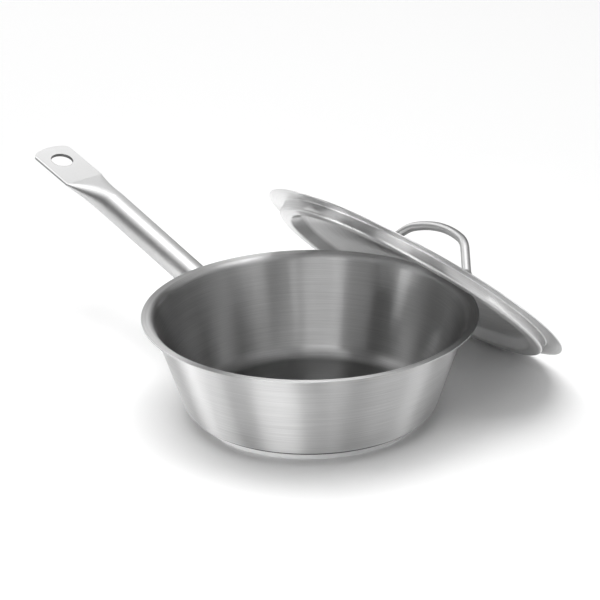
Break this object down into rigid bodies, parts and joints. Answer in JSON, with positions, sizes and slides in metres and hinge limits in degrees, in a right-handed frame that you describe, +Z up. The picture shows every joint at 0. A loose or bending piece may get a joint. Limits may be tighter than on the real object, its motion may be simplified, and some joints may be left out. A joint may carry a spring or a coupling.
{
  "type": "braising pan with lid",
  "caption": "Conical steel braising pan on a sandwich base, with a hollow tube handle that hangs by its flat end and a domed lid that leans on the lip and lifts off by a rod bow.",
  "frame": {"origin": "centre of the base's underside, on the table", "axes": "+Z up along the pan's axis; the handle points along -X; the lid leans on the lip at the +Y side"},
  "size_m": [0.4553, 0.3241, 0.1701],
  "materials": {
    "pan_steel": "brushed round the pan's axis",
    "base_steel": "polished",
    "core_aluminium": "bare",
    "handle_steel": "satin",
    "weld_steel": "ground weld",
    "lid_steel": "brushed round the lid's axis",
    "bow_steel": "satin"
  },
  "bodies": {
    "pan": {"pan_shell": "pan_steel", "base_cap": "base_steel", "base_core": "core_aluminium", "handle_foot": "handle_steel", "handle_weld": "weld_steel", "handle_tube": "handle_steel"},
    "lid": {"lid_shell": "lid_steel", "lid_bow": "bow_steel"}
  },
  "joints": [
    {"name": "lid_lift", "type": "slide", "parent": "pan", "child": "lid", "axis": [-0.035, 0.6682, 0.7431], "range_m": [0, 0.2]}
  ]
}
